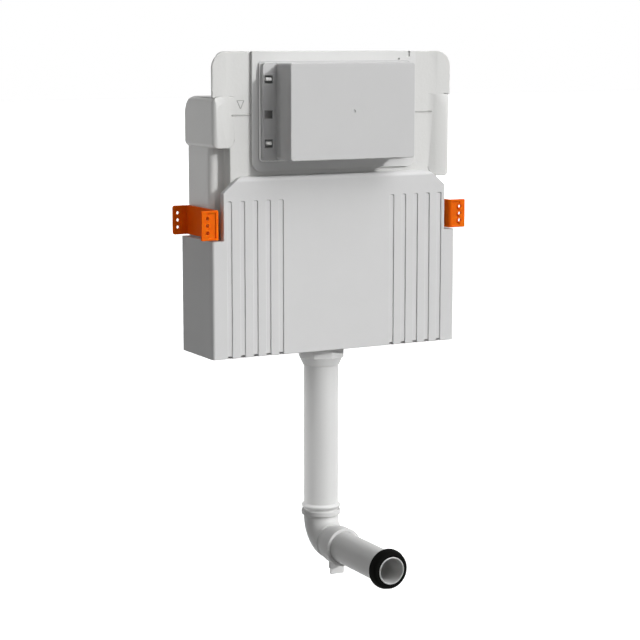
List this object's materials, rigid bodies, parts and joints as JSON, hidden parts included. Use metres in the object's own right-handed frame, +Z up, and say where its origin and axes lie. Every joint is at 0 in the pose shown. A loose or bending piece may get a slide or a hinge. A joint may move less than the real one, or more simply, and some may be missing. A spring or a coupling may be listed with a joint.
{
  "type": "concealed toilet cistern",
  "caption": "Slim concealed toilet cistern with insulated casing, service opening behind a pull-off box, orange wall brackets, lever flush valve, fill valve and flush bend.",
  "frame": {"origin": "middle of the wall bolt pattern, on the plane that lies against the wall", "axes": "+Z up, +Y towards the wall, +X to the right seen from the front; the front faces -Y"},
  "size_m": [0.4204, 0.256, 0.7465],
  "materials": {
    "casing": "fine matte moulding",
    "tank": "waxy blow-moulded",
    "plate": "matte",
    "box": "matte",
    "tongue": "satin",
    "bracket": "satin moulded",
    "pipe": "extruded, satin",
    "fitting": "moulded, satin",
    "rubber": "matte",
    "valve_seal": "matte",
    "valve": "satin",
    "lever": "satin",
    "steel": "drawn",
    "brass": "machined"
  },
  "bodies": {
    "cistern": {"lower_casing": "casing", "tank": "tank", "service_plate": "plate", "latch_tongues": "tongue", "bracket_left": "bracket", "bracket_right": "bracket", "base_gasket": "rubber", "valve_base": "valve", "valve_cage": "valve", "outlet_nut": "fitting", "pipe_washer": "rubber", "flush_pipe": "pipe", "lever_bracket": "valve", "lever_pin": "steel", "fill_valve": "valve", "shank_gasket": "rubber", "shank_nut": "brass", "arm_pin": "steel"},
    "box": {"protection_box": "box"},
    "bend": {"flush_elbow": "fitting", "elbow_seal": "rubber", "elbow_clip": "fitting", "outlet_pipe": "pipe", "pan_seal": "rubber"},
    "valve": {"overflow_tube": "valve", "valve_seal": "valve_seal", "lift_hook": "valve"},
    "half_valve": {"half_flush_float": "valve", "half_flush_rod": "valve"},
    "full_lever": {"full_flush_lever": "lever"},
    "half_lever": {"half_flush_lever": "lever"},
    "float": {"fill_float": "valve", "float_rod": "steel"},
    "arm": {"float_arm": "lever"}
  },
  "joints": [
    {"name": "box_pull", "type": "slide", "parent": "cistern", "child": "box", "axis": [0, -1, 0], "range_m": [0, 0.12]},
    {"name": "bend_swivel", "type": "hinge", "parent": "cistern", "child": "bend", "pos_m": [0, -0.051, -0.4365], "axis": [0, 0, 1], "range_deg": [-45, 45]},
    {"name": "valve_lift", "type": "slide", "parent": "cistern", "child": "valve", "axis": [0, 0, 1], "range_m": [0, 0.0146]},
    {"name": "full_lever_turn", "type": "hinge", "parent": "cistern", "child": "full_lever", "pos_m": [0, -0.079, 0.1665], "axis": [1, 0, 0], "range_deg": [0, 30]},
    {"name": "half_lift", "type": "slide", "parent": "cistern", "child": "half_valve", "axis": [0, 0, 1], "range_m": [0, 0.0146]},
    {"name": "half_lever_turn", "type": "hinge", "parent": "cistern", "child": "half_lever", "pos_m": [0, -0.079, 0.1665], "axis": [1, 0, 0], "range_deg": [0, 30]},
    {"name": "float_travel", "type": "slide", "parent": "cistern", "child": "float", "axis": [0, 0, 1], "range_m": [-0.012, 0]},
    {"name": "arm_turn", "type": "hinge", "parent": "cistern", "child": "arm", "pos_m": [0.124, -0.04, 0.2165], "axis": [0, 1, 0], "range_deg": [-23, 0]}
  ],
  "couplings": [
    {"joint": "full_lever_turn", "follows": "valve_lift", "rad_per_m": 35.714},
    {"joint": "half_lever_turn", "follows": "half_lift", "rad_per_m": 35.714},
    {"joint": "arm_turn", "follows": "float_travel", "rad_per_m": 33.333}
  ]
}
